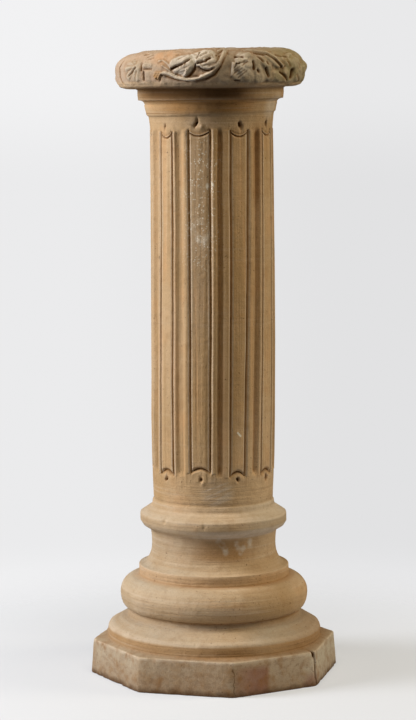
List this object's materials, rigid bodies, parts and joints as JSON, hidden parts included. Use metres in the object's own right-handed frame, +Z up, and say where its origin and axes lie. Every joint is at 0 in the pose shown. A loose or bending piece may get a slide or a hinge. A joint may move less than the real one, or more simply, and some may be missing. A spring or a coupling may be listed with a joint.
{
  "type": "terracotta column",
  "caption": "Free-standing fired-clay column: octagonal plinth, turned base, fluted shaft and a round slab edged with a vine garland, for carrying a pot or bust.",
  "frame": {"origin": "centre of the plinth's underside, on the surface that the column stands on", "axes": "+Z up the column; -Y faces the side seen in the picture; +X to that view's right"},
  "size_m": [0.4206, 0.4206, 1.0545],
  "materials": {
    "terracotta": "unglazed, weathered"
  },
  "bodies": {
    "root": {"terracotta_column": "terracotta"}
  },
  "joints": []
}
